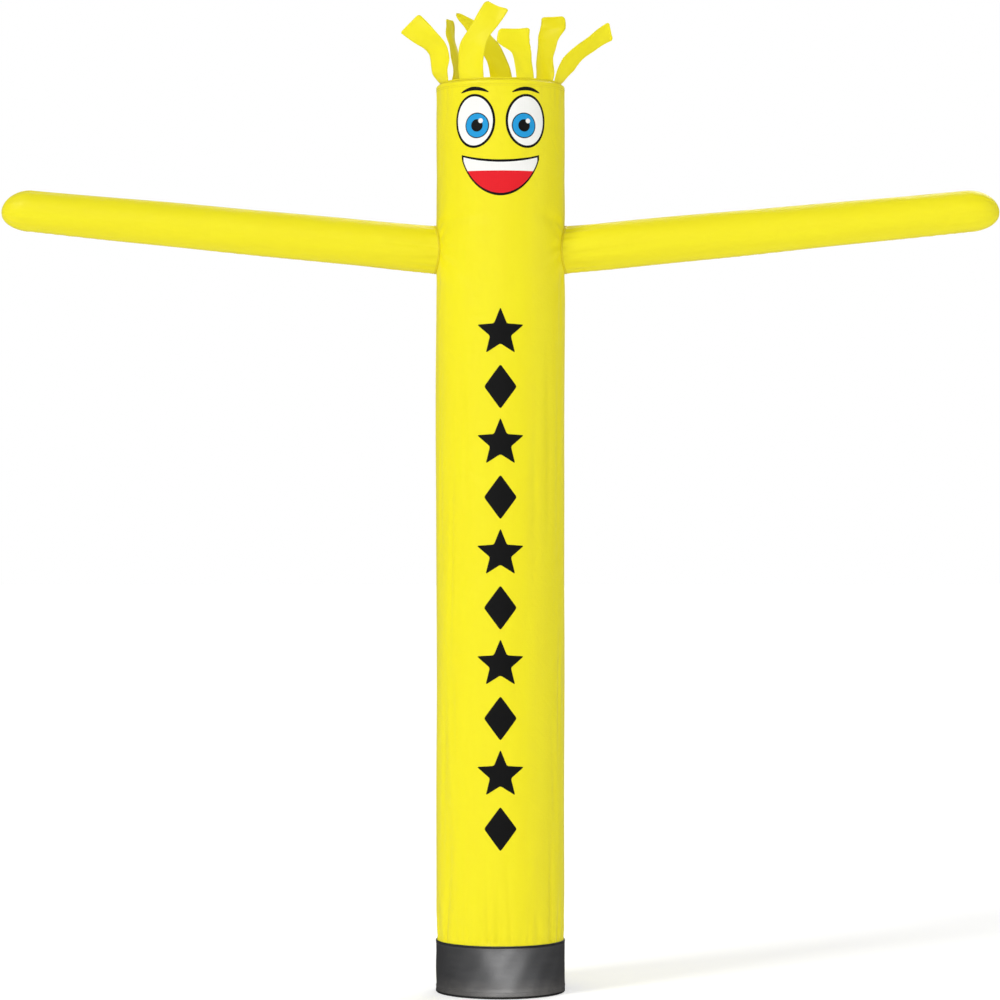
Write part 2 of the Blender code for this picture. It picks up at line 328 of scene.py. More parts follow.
STITCH_PITCH = 0.0055
STITCH_LENGTH = 0.0038
STITCH_WIDTH = 0.0009
STITCH_HEIGHT = 0.0006


def stitches(name, cloth, across, along, material, lift=0.0):
    """A row of stitches along a line on a cloth, or on a band that stands off it by lift, as one
    mesh. Each stitch dips in at its ends."""
    cloth = Cloth(cloth.points + cloth.normals * lift, cloth.across, cloth.along)
    path = cloth.place(across, along)
    normal = unit(cloth.place(across, along, 1.0) - path)
    run = run_along(path)
    count = int(run[-1] / STITCH_PITCH)
    starts = (np.arange(count) + 0.15) * STITCH_PITCH

    def along_path(values, distance):
        return np.stack([np.interp(distance, run, values[:, k]) for k in range(3)], axis=-1)

    at = starts[:, None] + np.array([0.0, 0.22, 0.78, 1.0]) * STITCH_LENGTH
    middle = along_path(path, at)
    up = unit(along_path(normal, at))
    ahead = unit(middle[:, -1:] - middle[:, :1])
    side = unit(np.cross(up, ahead))
    middle = middle + up * (np.array([-0.5, 1.0, 1.0, -0.5]) * STITCH_HEIGHT)[None, :, None]
    half = 0.5 * STITCH_WIDTH * np.array([0.7, 1.0, 1.0, 0.7])[None, :, None]
    tall = half * 0.8
    offsets = (-side * half, up * tall, side * half, -up * tall)
    rings = np.stack([middle + offset for offset in offsets], axis=2)
    faces = []
    for k in range(0, 12, 4):
        for j in range(4):
            n = (j + 1) % 4
            faces.append((k + j, k + n, k + 4 + n, k + 4 + j))
    faces += [(3, 2, 1, 0), (12, 13, 14, 15)]
    corners = rings.shape[1] * rings.shape[2]
    every = (np.array(faces)[None] + corners * np.arange(count)[:, None, None]).reshape(-1, 4)
    uvs = np.zeros((len(every), 4, 2))
    uvs[..., 0] = np.repeat(starts, len(faces))[:, None]
    return add_piece(name, rings.reshape(-1, 3), every.tolist(), uvs, material)


# Materials

def light(colour):
    """An sRGB colour of 255 parts as a linear one with alpha."""
    parts = np.asarray(colour) / 255.0
    linear = np.where(parts <= 0.04045, parts / 12.92, ((parts + 0.055) / 1.055) ** 2.4)
    return (*linear.tolist(), 1.0)


class Nodes:
    """A material's node tree, with short calls for the nodes that are used here."""

    def __init__(self, name):
        self.material = bpy.data.materials.new(name)
        self.material.use_nodes = True
        self.tree = self.material.node_tree
        self.shader = self.tree.nodes["Principled BSDF"]

    def put(self, socket, value):
        if isinstance(value, bpy.types.NodeSocket):
            self.tree.links.new(value, socket)
        else:
            socket.default_value = value

    def node(self, kind, **inputs):
        """A new node with its inputs set by name. An underscore stands for a space."""
        made = self.tree.nodes.new("ShaderNode" + kind)
        for name, value in inputs.items():
            self.put(made.inputs[name.replace("_", " ")], value)
        return made

    def shade(self, name, value):
        """Sets or links a socket of the shader itself."""
        self.put(self.shader.inputs[name], value)

    def math(self, operation, first, second=0.0, clamp=False):
        node = self.node("Math")
        node.operation = operation
        node.use_clamp = clamp
        self.put(node.inputs[0], first)
        self.put(node.inputs[1], second)
        return node.outputs[0]

    def plus(self, first, second):
        return self.math("ADD", first, second)

    def times(self, first, second):
        return self.math("MULTIPLY", first, second)

    def flat(self):
        """The cloth's flat coordinates in metres, whole and as their two parts."""
        node = self.node("UVMap")
        node.uv_map = "flat"
        parts = self.node("SeparateXYZ", Vector=node.outputs[0])
        return node.outputs[0], parts.outputs[0], parts.outputs[1]

    def stretched(self, vector, scale):
        return self.node("Mapping", Vector=vector, Scale=scale).outputs[0]

    def noise(self, vector, scale, detail=3.0, distortion=0.0):
        node = self.node("TexNoise", Vector=vector, Scale=scale, Detail=detail, Distortion=distortion)
        return node.outputs["Fac"]

    def crumple(self, vector, scale):
        """High on flat patches and low along the creases between them."""
        node = self.node("TexVoronoi", Vector=vector, Scale=scale)
        node.feature = "DISTANCE_TO_EDGE"
        return self.math("MINIMUM", self.times(node.outputs["Distance"], 5.0), 1.0)

    def fade(self, value, reach):
        """1 where a value is 0, and 0 from reach on."""
        return self.math("SUBTRACT", 1.0, self.math("DIVIDE", value, reach, clamp=True), clamp=True)

    def line(self, value, pitch, width):
        """1 on thin lines that repeat every pitch, 0 between them."""
        return self.fade(self.math("PINGPONG", value, 0.5 * pitch), width)

    def weave(self, across, along, pitch):
        """Threads that pass over and under each other."""
        warp, weft = (self.math("SINE", self.times(value, 2 * math.pi / pitch)) for value in (across, along))
        return self.times(warp, weft)

    def blend(self, share, first, second):
        node = self.node("Mix")
        node.data_type = "RGBA"
        for name, value in (("Factor", share), ("A", first), ("B", second)):
            self.put(node.inputs[name], value)
        return node.outputs["Result"]

    def spread(self, value, low, high):
        """Maps 0 to 1 onto low to high."""
        return self.node("MapRange", Value=value, To_Min=low, To_Max=high).outputs["Result"]

    def relief(self, *layers):
        """Bumps on the shader, from the broadest to the finest: (height, distance, strength)."""
        normal = None
        for height, distance, strength in layers:
            node = self.node("Bump", Height=height, Distance=distance, Strength=strength)
            if normal is not None:
                self.put(node.inputs["Normal"], normal)
            normal = node.outputs["Normal"]
        self.shade("Normal", normal)


RIPSTOP_PITCH = 0.0065
RIPSTOP_WIDTH = 0.0007
WEAVE_PITCH = 0.0011
COARSE_PITCH = 0.0024
DUST = (104, 99, 92)
DUST_HEIGHT = 0.07


def ripstop(nodes, across, along):
    """The heavier threads of the ripstop grid, and the fine weave between them."""
    grid = (nodes.line(value, RIPSTOP_PITCH, RIPSTOP_WIDTH) for value in (across, along))
    return nodes.math("MAXIMUM", *grid), nodes.weave(across, along, WEAVE_PITCH)


def cloth_material(name, colour, deep, crumple=1.0):
    """Ripstop cloth: a grid of heavier threads, fine weave, crumpling and soft uneven colour."""
    nodes = Nodes(name)
    flat, across, along = nodes.flat()
    threads, weave = ripstop(nodes, across, along)
    cloudy = nodes.noise(flat, 2.3, 4.0)
    streaky = nodes.noise(nodes.stretched(flat, (26.0, 3.0, 1.0)), 1.0)
    shade = nodes.blend(nodes.times(nodes.plus(cloudy, streaky), 0.5), light(colour), light(deep))
    nodes.shade("Base Color", nodes.blend(nodes.times(threads, 0.35), shade, light(deep)))
    nodes.shade("Roughness", nodes.spread(nodes.noise(flat, 14.0), 0.35, 0.51))
    nodes.shade("Sheen Weight", 0.1)
    nodes.shade("Sheen Roughness", 0.35)
    nodes.shade("Specular IOR Level", 0.3)
    creases = nodes.plus(nodes.crumple(flat, 7.0), nodes.times(nodes.crumple(flat, 17.0), 0.5))
    nodes.relief(
        (creases, 0.0012 * crumple, 0.7),
        (nodes.noise(flat, 21.0, 5.0, 0.6), 0.0018 * crumple, 0.55),
        (threads, 0.00022, 0.7),
        (weave, 0.00005, 0.5),
    )
    return nodes.material


def ink_material(name, colour, deep):
    """Ink on the cloth: the ripstop grid shows through it, and it's a little patchy."""
    nodes = Nodes(name)
    flat, across, along = nodes.flat()
    threads, weave = ripstop(nodes, across, along)
    patchy = nodes.noise(flat, 90.0, 4.0)
    worn = nodes.plus(nodes.times(patchy, 0.35), nodes.times(threads, 0.3))
    nodes.shade("Base Color", nodes.blend(worn, light(colour), light(deep)))
    nodes.shade("Roughness", nodes.spread(patchy, 0.42, 0.58))
    nodes.shade("Specular IOR Level", 0.15)
    nodes.relief(
        (nodes.noise(flat, 21.0, 5.0, 0.6), 0.0012, 0.5),
        (threads, 0.0002, 0.7),
        (weave, 0.00005, 0.4),
    )
    return nodes.material


def thread_material(name, colour, deep):
    """Twisted sewing thread."""
    nodes = Nodes(name)
    flat, across, _ = nodes.flat()
    twist = nodes.noise(flat, 900.0, 2.0)
    nodes.shade("Base Color", nodes.blend(twist, light(colour), light(deep)))
    nodes.shade("Roughness", nodes.spread(twist, 0.45, 0.65))
    nodes.relief((nodes.math("SINE", nodes.times(across, 9000.0)), 0.0001, 0.4))
    return nodes.material


def coated_material(name, colour, deep, roughness, specular):
    """Coated base cloth: a coarse weave under a half-gloss skin, scuffed and dusty near the ground."""
    nodes = Nodes(name)
    flat, across, along = nodes.flat()
    weave = nodes.weave(across, along, COARSE_PITCH)
    scuffs = nodes.noise(nodes.stretched(flat, (9.0, 70.0, 1.0)), 1.0, 6.0, 0.4)
    dusty = nodes.times(nodes.times(nodes.fade(along, DUST_HEIGHT), nodes.noise(flat, 30.0, 6.0)), 0.2)
    shade = nodes.blend(nodes.times(scuffs, 0.6), light(colour), light(deep))
    nodes.shade("Base Color", nodes.blend(dusty, shade, light(DUST)))
    skin = nodes.spread(scuffs, roughness - 0.06, roughness + 0.1)
    nodes.shade("Roughness", nodes.plus(skin, nodes.times(dusty, 0.4)))
    nodes.shade("Specular IOR Level", specular)
    nodes.relief((nodes.noise(flat, 11.0), 0.002, 0.35), (weave, 0.0001, 0.5))
    return nodes.material


yellow_cloth = cloth_material("yellow_ripstop", YELLOW, (238, 222, 20))
seam_cloth = cloth_material("yellow_seam", (240, 226, 26), (226, 206, 16), crumple=0.4)
yellow_thread = thread_material("yellow_thread", THREAD_YELLOW, (196, 178, 16))
coated_cloth = coated_material("coated_cuff", CUFF_GREY, (31, 31, 32), roughness=0.5, specular=0.35)
binding_cloth = coated_material("cuff_binding", BINDING_BLACK, (24, 24, 25), roughness=0.6, specular=0.4)
grey_thread = thread_material("grey_thread", THREAD_GREY, (70, 70, 74))
ink_black = ink_material("ink_black", INK_BLACK, (20, 20, 20))
ink_white = ink_material("ink_white", INK_WHITE, (232, 232, 226))
ink_blue = ink_material("ink_blue", INK_BLUE, (24, 138, 202))
ink_red = ink_material("ink_red", INK_RED, (212, 20, 32))


# The body tube

CREASE_COUNT = 60

# Soft unevenness of the tube: (depth, waves round it, turn for each metre up, shift) for each wave.
TUBE_WAVES = (
    (0.0009, 2, 2.1, 0.0),
    (0.0008, 3, -3.7, 1.0),
    (0.0005, 7, 5.3, 2.0),
    (0.0004, 11, -9.1, 0.0),
)

# The lapped seam's section: (offset from its middle, lift off the cloth).
BACK_SEAM = (
    (-0.0075, -0.0003),
    (-0.0065, 0.0007),
    (-0.002, 0.0009),
    (0.003, 0.0008),
    (0.0065, 0.0007),
    (0.0075, -0.0003),
)

cuff_folds = folds(38, GIRTH, depth=(0.0030, 0.0085), length=(0.10, 0.50), width=(0.010, 0.020))
crown_folds = folds(
    36, GIRTH, depth=(0.0018, 0.0048), length=(0.04, 0.20), width=(0.009, 0.016), stiff=0.21
)
hole_folds = folds(
    16, ARM_GIRTH, depth=(0.0022, 0.0068), length=(0.08, 0.36), width=(0.008, 0.014), lean=0.3
)


def turned_point(radius, turn, height):
    """A point round the tube. A turn of 0 is the front, and it grows towards +X."""
    radius, turn, height = np.broadcast_arrays(radius, turn, height)
    return np.stack([radius * np.sin(turn), -radius * np.cos(turn), height], axis=-1)


def hole_distance(turn, height):
    """How far round and up a place is from the nearer arm hole's middle, and the angle round it."""
    side = np.where(turn < 0, -1.0, 1.0)
    out = TUBE_RADIUS * (turn - side * 0.5 * math.pi) * side
    up = height - HOLE_LEVEL
    return np.hypot(TUBE_RADIUS * np.sin(out / TUBE_RADIUS), up * math.cos(ARM_RISE)), np.arctan2(up, out)


def loose_creases():
    """Long faint creases up the tube, none across the print: (place round, level, half length,
    width, depth, lean) for each."""
    own = np.random.default_rng(23)
    side = np.where(np.arange(CREASE_COUNT) % 2 == 0, -1.0, 1.0)
    ranges = (
        (0.12, 0.5 * GIRTH), (0.50, 2.45), (0.10, 0.32), (0.009, 0.017), (0.0015, 0.0042), (-0.05, 0.05),
    )
    draws = [own.uniform(low, high, CREASE_COUNT) for low, high in ranges]
    return list(zip(side * draws[0], *draws[1:]))


def tube_relief(turn, height):
    """How far the cloth stands off a true tube: pleats at each seam, creases and soft unevenness."""
    around = TUBE_RADIUS * turn
    above_cuff = height - CUFF_HEIGHT
    below_crown = CORNER_FOOT - height
    away, angle = hole_distance(turn, height)
    relief = gathered(around, above_cuff, GIRTH, cuff_folds)
    relief += gathered(around, below_crown, GIRTH, crown_folds)
    relief += gathered(angle * ARM_ROOT_RADIUS, away - ARM_ROOT_RADIUS, ARM_GIRTH, hole_folds)
    soft = sum(
        depth * np.sin(waves * turn + climb * height + shift)
        for depth, waves, climb, shift in TUBE_WAVES
    )
    creased = 0.0
    for place, level, half_length, width, depth, lean in loose_creases():
        off = wrapped(around - place - lean * (height - level), GIRTH)
        creased = creased - depth * np.exp(-(off / width) ** 2 - ((height - level) / half_length) ** 2)
    free = smooth(above_cuff / 0.06) * smooth(below_crown / 0.06) * smooth((away - ARM_ROOT_RADIUS) / 0.05)
    return relief + (soft + creased) * free


def cut_holes(points, turns, along):
    """Moves the points round each arm hole onto its edge, and says which faces stay."""
    away, _ = hole_distance(turns[None, :], along[:, None])
    inside = away < HOLE_RADIUS
    gone = inside & np.roll(inside, -1, axis=1)
    keep = ~(gone[:-1] & gone[1:])
    touched = np.zeros_like(inside)
    for rows in (0, 1):
        for columns in (0, 1):
            touched[rows:len(along) - 1 + rows] |= np.roll(keep, columns, axis=1)
    for row, column in np.argwhere(inside & touched):
        x, y, z = points[row, column]
        pull = HOLE_RADIUS / max(away[row, column], 1e-6)
        y, z = y * pull, HOLE_LEVEL + (z - HOLE_LEVEL) * pull
        points[row, column] = (math.copysign(math.sqrt(TUBE_RADIUS ** 2 - y * y), x), y, z)
    return keep


def make_tube():
    turns = circle(216, -math.pi)
    heights = steps(
        (LAP_FOOT, CUFF_HEIGHT, 0.01),
        (CUFF_HEIGHT, 0.31, 0.0055),
        (0.31, 0.55, 0.009),
        (0.55, 2.36, 0.0215),
        (2.36, 2.92, 0.0105),
        (2.92, 3.10, 0.0115),
        (3.10, CORNER_FOOT, 0.0055),
    )
    flare = smooth((heights - CUFF_HEIGHT) / FLARE_HEIGHT)[:, None]
    radius = mix(LAP_RADIUS, TUBE_RADIUS - TUBE_INSET, flare) + tube_relief(turns[None, :], heights[:, None])
    rows = [turned_point(radius, turns[None, :], heights[:, None])]
    for a in np.radians([22, 45, 67, 90]):
        corner_radius = TUBE_RADIUS - (TUBE_RADIUS - CROWN_RADIUS) * (1 - math.cos(a))
        rows.append(turned_point(corner_radius, turns, CORNER_FOOT + CORNER_HEIGHT * math.sin(a))[None])
    points = np.concatenate(rows)
    along = np.concatenate([heights, CORNER_FOOT + CORNER_HEIGHT * np.array([0.4, 0.75, 1.0, 1.35])])
    keep = cut_holes(points, turns, along)
    flat_across = TUBE_RADIUS * np.append(turns, math.pi)
    piece = grid_piece("body_cloth", points, flat_across, along, yellow_cloth, SHEET, keep=keep)
    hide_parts("body_tube")
    return Cloth(points, turns, along), piece


def tube_seams(tube):
    """The seam up the back, and the rows of stitches on it and under the crown."""
    heights = np.linspace(CUFF_HEIGHT + 0.001, CORNER_FOOT, 330)
    made = [strip("back_seam", tube, math.pi, heights, BACK_SEAM, TUBE_RADIUS, seam_cloth)]
    for name, offset in (("left", -0.0048), ("right", 0.0048)):
        turn = math.pi + offset / TUBE_RADIUS
        made.append(stitches("back_stitches_" + name, tube, turn, heights, yellow_thread, 0.0008))
    around = np.linspace(-math.pi, math.pi, 400)
    for name, drop in (("upper", 0.004), ("lower", 0.010)):
        made.append(stitches("crown_stitches_" + name, tube, around, CORNER_FOOT - drop, yellow_thread))
    return made


tube, tube_piece = make_tube()
tube_trim = tube_seams(tube)


# The arms

ARM_STAGES = steps((0.0, 0.06, 0.0035), (0.06, 0.22, 0.006), (0.22, 0.9, 0.0115), (0.9, 1.0, 0.006))
CAP_TURNS = np.radians(np.linspace(0, 88, 20)[1:])

# The sections of an arm's bands: (distance along the arm or offset from the seam, lift off the cloth).
ROOT_BAND = ((0.0006, -0.0003), (0.0012, 0.0008), (0.0045, 0.0009), (0.0085, 0.0007), (0.0095, -0.0003))
ARM_SEAM = ((-0.0055, -0.0003), (-0.0045, 0.0006), (0.0, 0.0008), (0.0045, 0.0006), (0.0055, -0.0003))


def arm_line(along, radius, angle, droop):
    """Points round the right arm's middle line, at a distance along it from the tube's axis."""
    along, radius, angle, droop = np.broadcast_arrays(along, radius, angle, droop)
    out = along * math.cos(ARM_RISE) - radius * np.sin(angle) * math.sin(ARM_RISE)
    up = along * math.sin(ARM_RISE) + radius * np.sin(angle) * math.cos(ARM_RISE)
    return np.stack([out, radius * np.cos(angle), ARM_HEIGHT + up - droop], axis=-1)


def arm_root(angle):
    """How far along its middle line the arm's edge meets the tube, at each angle."""
    out = np.sqrt((TUBE_RADIUS - 0.001) ** 2 - (ARM_ROOT_RADIUS * np.cos(angle)) ** 2)
    return (out + ARM_ROOT_RADIUS * np.sin(angle) * math.sin(ARM_RISE)) / math.cos(ARM_RISE)


def arm_points(side, angles):
    """The right arm's cloth: folds at its root and end, puckers along the seam, and a round cap."""
    root = arm_root(angles)
    along = mix(root[None, :], CAP_START, ARM_STAGES[:, None])
    base = mix(ARM_ROOT_RADIUS, ARM_END_RADIUS, ARM_STAGES)[:, None] - CLOTH_INSET
    root_folds = folds(
        16, ARM_GIRTH, depth=(0.0020, 0.0060), length=(0.08, 0.42), width=(0.008, 0.013), lean=0.1
    )
    end_folds = folds(
        15, ARM_GIRTH, depth=(0.0016, 0.0050), length=(0.09, 0.30), width=(0.007, 0.011), lean=0.04
    )
    around = angles[None, :] * ARM_ROOT_RADIUS
    relief = gathered(around, along - root[None, :], ARM_GIRTH, root_folds)
    relief += gathered(around, CAP_START + ARM_CAP - along, ARM_GIRTH, end_folds)
    from_seam = np.minimum(np.abs(angles + 0.5 * math.pi), np.abs(angles - 1.5 * math.pi)) * base
    wobble = np.sin(along * 150.0 + 2.0 * np.sin(along * 23.0)) * (0.6 + 0.4 * np.sin(along * 9.0))
    relief += 0.0008 * np.exp(-((from_seam / 0.022) ** 2)) * wobble
    soft = 0.0007 * np.sin(2 * angles + along * 5.0 + side) + 0.0005 * np.sin(5 * angles - along * 11.0)
    relief += soft * smooth((along - root[None, :]) / 0.05)
    rows = [arm_line(along, base + relief, angles[None, :], 0.0)]
    for turn in CAP_TURNS:
        from_tip = np.full(len(angles), ARM_CAP * (1 - math.sin(turn)) + 0.02)
        dent = gathered(around[0], from_tip, ARM_GIRTH, end_folds) * math.cos(turn)
        radius = (ARM_END_RADIUS - CLOTH_INSET) * math.cos(turn) + dent
        droop = ARM_TIP_DROOP * math.sin(turn) ** 2
        rows.append(arm_line(CAP_START + ARM_CAP * math.sin(turn), radius, angles, droop)[None])
    return np.concatenate(rows)


def arm_seams(side, name, cloth):
    """The felled seam round the root with its two rows of stitches, and the seam under the arm."""
    around = cloth.across[0] + np.linspace(0.0, 2 * math.pi, 121)
    made = [hoop(name + "_root_band", cloth, around, ROOT_BAND, seam_cloth, ARM_REACH)]
    for row, distance in (("inner", 0.0028), ("outer", 0.0070)):
        label = f"{name}_root_stitches_{row}"
        made.append(stitches(label, cloth, around, distance / ARM_REACH, yellow_thread, 0.0008))
    under = -0.5 * math.pi * side
    shares = np.concatenate([np.linspace(0.008, 1.0, 150), 1.0 + CAP_TURNS[:-2]])
    made.append(strip(name + "_seam", cloth, under, shares, ARM_SEAM, ARM_ROOT_RADIUS, seam_cloth))
    made.append(stitches(name + "_stitches", cloth, under + 0.03, shares, yellow_thread, 0.0006))
    return made


def make_arm(side, name):
    angles = -0.5 * math.pi + circle(88)
    points = arm_points(side, angles)
    if side < 0:
        points = points[:, ::-1] * np.array([-1.0, 1.0, 1.0])
        angles = -angles[::-1]
    flat_across = ARM_ROOT_RADIUS * np.append(angles, angles[0] + 2 * math.pi)
    flat_along = np.concatenate([ARM_STAGES * ARM_REACH, ARM_REACH + ARM_CAP * CAP_TURNS])
    rows, columns = points.shape[:2]
    faces, places = grid_faces(rows, columns, True)
    tip = list(range((rows - 1) * columns, rows * columns))
    tip_flat = np.stack([flat_across[:columns], np.full(columns, flat_along[-1])], axis=-1)
    uvs = np.concatenate([flat_places(places, flat_across, flat_along).reshape(-1, 2), tip_flat])
    piece = add_piece(name + "_cloth", points, faces.tolist() + [tip], uvs, yellow_cloth, SHEET)
    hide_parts(*(f"{name}_{length}" for length in ("root", "middle", "end")))
    cloth = Cloth(points, angles, np.concatenate([ARM_STAGES, 1.0 + CAP_TURNS]))
    return piece, arm_seams(side, name, cloth)


arm_pieces = [make_arm(side, name) for side, name in ((-1, "arm_left"), (1, "arm_right"))]


# The crown, with its vent

def crown_height(radius):
    return HEAD_TOP + CROWN_DOME * (1.0 - (radius / CROWN_RADIUS) ** 2)


def roll(name, radius, height, thickness):
    """A soft rolled edge that runs round the axis, a little uneven."""
    turns = circle(180, -math.pi)
    section = circle(8)[:, None]
    half = 0.5 * thickness * (1.0 + 0.06 * np.sin(31 * turns) + 0.05 * np.sin(13 * turns + 1.0))
    points = turned_point(radius + half * np.cos(section), turns, height + half * np.sin(section))
    flat_across = radius * np.append(turns, math.pi)
    flat_along = 0.5 * thickness * np.append(section, 2 * math.pi)
    return looped_piece(name, points, flat_across, flat_along, seam_cloth)


def make_crown():
    """The crown's cloth, its vent's hem and stitches, and the piping in the seam round it."""
    turns = circle(144, -math.pi)
    radii = steps(
        (CROWN_RADIUS + 0.0005, 0.185, -0.0035),
        (0.185, 0.095, -0.009),
        (0.095, VENT_RADIUS, -0.004),
    )[:, None]
    edge_folds = folds(
        34, CROWN_GIRTH, depth=(0.0006, 0.0024), length=(0.03, 0.11), width=(0.005, 0.010), lean=0.05
    )
    vent_folds = folds(
        15, VENT_GIRTH, depth=(0.0004, 0.0014), length=(0.03, 0.08), width=(0.004, 0.008), lean=0.05
    )
    relief = gathered(turns[None, :] * CROWN_RADIUS, CROWN_RADIUS - radii, CROWN_GIRTH, edge_folds)
    relief += gathered(turns[None, :] * VENT_RADIUS, radii - VENT_RADIUS, VENT_GIRTH, vent_folds)
    points = turned_point(radii, turns[None, :], crown_height(radii) + relief - CLOTH_INSET)
    flat_across = CROWN_RADIUS * np.append(turns, math.pi)
    along = CROWN_RADIUS - radii[:, 0]
    piece = grid_piece("crown_cloth", points, flat_across, along, yellow_cloth, SHEET)
    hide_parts("crown")

    hem = roll("vent_hem", VENT_RADIUS + 0.0012, crown_height(VENT_RADIUS) + 0.0002, 0.0026)
    piping = roll("crown_piping", CROWN_RADIUS + 0.0012, HEAD_TOP + 0.0002, 0.0024)
    cloth = Cloth(points, turns, along)
    around = np.linspace(-math.pi, math.pi, 240)
    sewn = stitches("vent_stitches", cloth, around, CROWN_RADIUS - VENT_RADIUS - 0.007, yellow_thread)
    return piece, [hem, piping, sewn]


crown_piece, crown_trim = make_crown()


# The cuff

HEM_HEIGHT = 0.026
BINDING_HEIGHT = 0.0085
CUFF_OUTSIDE = CUFF_RADIUS - 0.0014
CUFF_INSIDE = CUFF_RADIUS - 0.0038
CUFF_LAP = 0.0012

# The cuff's lapped seam: (offset from its middle, lift off the cloth).
CUFF_SEAM = (
    (-0.016, -0.0003),
    (-0.015, 0.0010),
    (-0.005, 0.0011),
    (0.005, 0.0011),
    (0.015, 0.0010),
    (0.016, -0.0003),
)


def cuff_section():
    """(radius, height) from the inside of the top edge, over it, down the outside and up inside."""
    hem = CUFF_OUTSIDE + 0.0006
    section = [
        (CUFF_INSIDE, CUFF_HEIGHT - 0.001),
        (CUFF_INSIDE + 0.0011, CUFF_HEIGHT),
        (CUFF_OUTSIDE, CUFF_HEIGHT - 0.001),
    ]
    for z in np.linspace(CUFF_HEIGHT - BINDING_HEIGHT, HEM_HEIGHT + 0.002, 16):
        section.append((CUFF_OUTSIDE, z))
    section += [(hem, HEM_HEIGHT), (hem, 0.012), (hem, 0.002), (hem - 0.0014, 0.0)]
    section += [(CUFF_INSIDE + 0.0006, 0.0), (CUFF_INSIDE, 0.002)]
    section += [(CUFF_INSIDE, z) for z in np.linspace(0.03, CUFF_HEIGHT - 0.012, 6)]
    return np.array(section)[::-1]


def cuff_seams(cloth):
    """A folded binding along each edge, rows of stitches, and the lapped seam at the back."""
    made = []
    around = np.linspace(-math.pi, math.pi, 241)
    for name, low, high in (
        ("top", CUFF_HEIGHT - BINDING_HEIGHT, CUFF_HEIGHT - 0.0015),
        ("foot", 0.0015, 0.008),
    ):
        section = (
            (low, -0.0003),
            (low + 0.001, 0.0007),
            (0.5 * (low + high), 0.0009),
            (high - 0.001, 0.0008),
            (high, -0.0002),
        )
        made.append(hoop("cuff_binding_" + name, cloth, around, section, binding_cloth))
    for name, level, lift in (
        ("top", CUFF_HEIGHT - 0.0058, 0.0008),
        ("second", CUFF_HEIGHT - 0.0125, 0.0),
        ("hem", HEM_HEIGHT - 0.004, 0.0),
    ):
        made.append(stitches("cuff_stitches_" + name, cloth, around, level, grey_thread, lift))
    heights = np.linspace(0.004, CUFF_HEIGHT - 0.004, 30)
    made.append(strip(
        "cuff_back_seam", cloth, math.pi, heights, CUFF_SEAM, CUFF_RADIUS, coated_cloth, CUFF_LAP,
    ))
    for name, offset in (("left", -0.012), ("right", 0.012)):
        turn = math.pi + offset / CUFF_RADIUS
        made.append(stitches("cuff_back_stitches_" + name, cloth, turn, heights, grey_thread, 0.0010))
    return made


def make_cuff():
    turns = circle(192, -math.pi)
    radius, height = (column[:, None] for column in cuff_section().T)
    held = smooth(height / 0.03) * smooth((CUFF_HEIGHT - height) / 0.03)
    dents = (
        0.0009 * np.sin(5 * turns + 1.0) * np.sin(height * 21.0)
        + 0.0007 * np.sin(9 * turns + height * 30.0)
        + 0.0005 * np.sin(17 * turns - height * 44.0)
    )
    points = turned_point(radius + dents * held, turns[None, :], height)
    flat_across = CUFF_RADIUS * np.append(turns, math.pi)
    flat_along = np.append(height, height[0])
    piece = looped_piece("cuff_cloth", points, flat_across, flat_along, coated_cloth)
    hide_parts("cuff")

    outer = points[radius[:, 0] > CUFF_OUTSIDE - 1e-4]
    outer = outer[np.argsort(outer[:, 0, 2])]
    return piece, cuff_seams(Cloth(outer, turns, outer[:, 0, 2]))


cuff_piece, cuff_trim = make_cuff()


# The streamers

SPAN_ROWS = 11
TIP_ROWS = 9
HALF_SHARES = np.linspace(-1.0, 1.0, 13)


def streamer_path(root_angle, root_width, root_rise, places):
    """The streamer's cross lines: (middle, half of its width as a vector), finely spaced."""
    turn = math.radians(root_angle)
    middle = np.array([HAIR_RADIUS * math.cos(turn), HAIR_RADIUS * math.sin(turn), root_rise])
    facing = root_angle - (270 if root_angle > 180 else 90)
    stops = [(middle, root_width, facing, 0.0)]
    stops += [(np.array(place[:3]), *place[3:]) for place in places]
    middles, halves = [], []
    for i in range(len(stops) - 1):
        before, start, end, after = (stops[min(max(i + k, 0), len(stops) - 1)] for k in (-1, 0, 1, 2))
        last = i == len(stops) - 2
        shares = np.linspace(0.0, 1.0, SPAN_ROWS + 1)
        if last:
            shares = np.concatenate([shares[:-2], np.linspace(shares[-3], 1.0, TIP_ROWS)[1:]])
        for t in shares[: None if last else -1]:
            middles.append(
                start[0] * (2 * t ** 3 - 3 * t ** 2 + 1)
                + (end[0] - before[0]) * 0.5 * (t ** 3 - 2 * t ** 2 + t)
                + end[0] * (3 * t ** 2 - 2 * t ** 3)
                + (after[0] - start[0]) * 0.5 * (t ** 3 - t ** 2)
            )
            width = mix(start[1], end[1], t)
            plan = math.radians(mix(start[2], end[2], t))
            slope = math.radians(mix(start[3], end[3], t))
            across = (math.cos(slope) * math.cos(plan), math.cos(slope) * math.sin(plan), math.sin(slope))
            halves.append(np.array(across) * 0.5 * width)
    return np.array(middles) + np.array([0.0, 0.0, HEAD_TOP]), np.array(halves)


